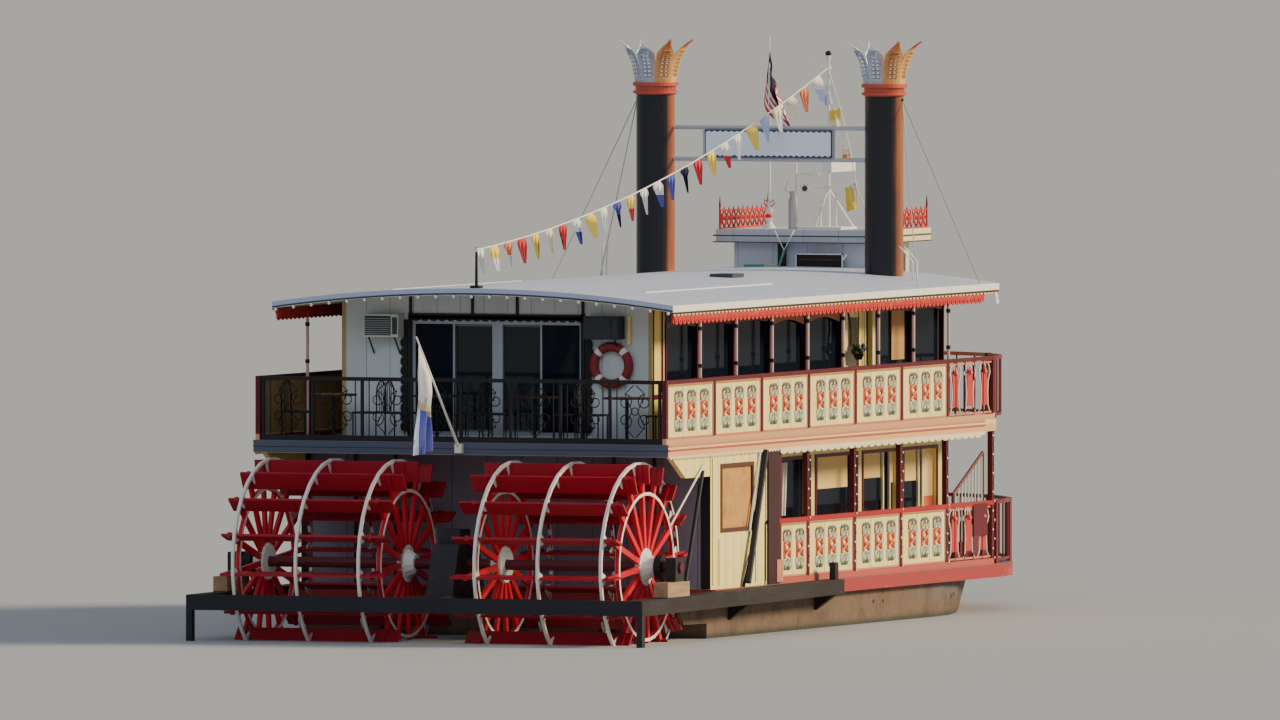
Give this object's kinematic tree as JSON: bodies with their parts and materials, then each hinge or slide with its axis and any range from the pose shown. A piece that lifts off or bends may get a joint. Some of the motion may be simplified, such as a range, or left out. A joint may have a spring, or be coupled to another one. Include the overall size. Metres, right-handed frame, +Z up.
{
  "type": "sternwheel paddle boat",
  "caption": "Two-deck sternwheel river boat with two paddle wheels side by side, crowned stacks and a pilothouse ahead of the cabin.",
  "frame": {"origin": "middle of the footprint on the floor that the flat hull bottom stands on", "axes": "+X forward to the bow, +Y to port, +Z up; the water line is at Z 0.85 m"},
  "size_m": [20.185, 7.9, 10.29],
  "materials": {
    "hull": "weathered tan paint with rust",
    "guard": "faded salmon red paint",
    "timber": "dark weathered timber",
    "machinery": "dark grey paint, greasy",
    "cream": "cream gloss paint on boards",
    "pale": "pale grey-white paint",
    "maroon": "maroon gloss paint",
    "red": "bright red paint with white hoops",
    "blue_deck": "dark blue-grey paint",
    "blue_roof": "pale blue-grey roof paint",
    "black": "black gloss paint with a coppery sheen",
    "copper": "copper-pink paint, white tips",
    "galvanised": "galvanised",
    "white": "white paint",
    "glass": "dark tinted glass"
  },
  "bodies": {
    "boat": {"hull": "hull", "main_deck": "guard", "wheel_guard_frame": "timber", "centre_bearing_stand": "machinery", "engine_block": "machinery", "engine_room_aft_wall": "blue_deck", "engine_room_side_starboard": "cream", "engine_room_side_port": "cream", "main_cabin_side_starboard": "cream", "main_cabin_side_port": "cream", "main_cabin_glass_starboard": "glass", "main_cabin_glass_port": "glass", "main_cabin_forward_wall": "cream", "main_rail_starboard": "maroon", "main_rail_port": "maroon", "bow_rail": "maroon", "bow_steps": "maroon", "upper_deck": "blue_deck", "upper_rail_starboard": "maroon", "upper_rail_port": "maroon", "upper_rail_aft": "black", "upper_rail_forward": "maroon", "upper_cabin_side_starboard": "cream", "upper_cabin_side_port": "cream", "upper_cabin_glass_starboard": "glass", "upper_cabin_glass_port": "glass", "upper_cabin_aft_wall": "pale", "aft_door_frame": "machinery", "upper_cabin_forward_wall": "cream", "roof": "blue_roof", "eave_posts_starboard": "copper", "eave_posts_port": "copper", "stack_starboard": "black", "stack_port": "black", "stack_crown_starboard": "copper", "stack_crown_port": "copper", "sign_frame": "galvanised", "pilothouse_walls": "pale", "pilothouse_roof": "blue_roof", "pilothouse_cresting_starboard": "red", "pilothouse_cresting_port": "red", "radio_mast": "white", "horn_pipe": "galvanised", "flag_staff_upper": "white", "aft_roof_mast": "machinery", "stern_flagstaff": "white", "pennant_line": "white"},
    "paddle_wheel_starboard_body": {"paddle_wheel_starboard": "red"},
    "paddle_wheel_port_body": {"paddle_wheel_port": "red"},
    "rudder_starboard_body": {"rudder_starboard": "machinery"},
    "rudder_port_body": {"rudder_port": "machinery"},
    "main_door_starboard_body": {"main_door_starboard": "maroon"},
    "main_door_port_body": {"main_door_port": "maroon"},
    "side_door_starboard_body": {"side_door_starboard": "cream"},
    "side_door_port_body": {"side_door_port": "cream"},
    "aft_door_starboard_body": {"aft_door_starboard": "glass"},
    "aft_door_port_body": {"aft_door_port": "glass"},
    "pilothouse_door_body": {"pilothouse_door": "maroon"}
  },
  "joints": [
    {"name": "paddle_wheel_starboard_spin", "type": "hinge", "parent": "boat", "child": "paddle_wheel_starboard_body", "pos_m": [-8.3175, -2, 2.08], "axis": [0, 1, 0], "continuous": true},
    {"name": "paddle_wheel_port_spin", "type": "hinge", "parent": "boat", "child": "paddle_wheel_port_body", "pos_m": [-8.3175, 2, 2.08], "axis": [0, 1, 0], "continuous": true},
    {"name": "rudder_starboard_swing", "type": "hinge", "parent": "boat", "child": "rudder_starboard_body", "pos_m": [-6.2775, -1.9, 0.85], "axis": [0, 0, 1], "range_deg": [-35, 35]},
    {"name": "rudder_port_swing", "type": "hinge", "parent": "boat", "child": "rudder_port_body", "pos_m": [-6.2775, 1.9, 0.85], "axis": [0, 0, 1], "range_deg": [-35, 35]},
    {"name": "main_door_starboard_swing", "type": "hinge", "parent": "boat", "child": "main_door_starboard_body", "pos_m": [6.3715, -0.791, 2.65], "axis": [0, 0, 1], "range_deg": [-95, 0]},
    {"name": "main_door_port_swing", "type": "hinge", "parent": "boat", "child": "main_door_port_body", "pos_m": [6.3715, 0.791, 2.65], "axis": [0, 0, 1], "range_deg": [0, 95]},
    {"name": "side_door_starboard_swing", "type": "hinge", "parent": "boat", "child": "side_door_starboard_body", "pos_m": [2.7055, -2.656, 5.05], "axis": [0, 0, 1], "range_deg": [-90, 0]},
    {"name": "side_door_port_swing", "type": "hinge", "parent": "boat", "child": "side_door_port_body", "pos_m": [2.7055, 2.656, 5.05], "axis": [0, 0, 1], "range_deg": [0, 90]},
    {"name": "pilothouse_door_swing", "type": "hinge", "parent": "boat", "child": "pilothouse_door_body", "pos_m": [7.1595, 1.204, 5.65], "axis": [0, 0, 1], "range_deg": [0, 90]},
    {"name": "aft_door_starboard_slide", "type": "slide", "parent": "boat", "child": "aft_door_starboard_body", "axis": [0, -1, 0], "range_m": [0, 0.62]},
    {"name": "aft_door_port_slide", "type": "slide", "parent": "boat", "child": "aft_door_port_body", "axis": [0, 1, 0], "range_m": [0, 0.62]}
  ],
  "couplings": [
    {"joint": "rudder_port_swing", "follows": "rudder_starboard_swing", "ratio": 1}
  ]
}
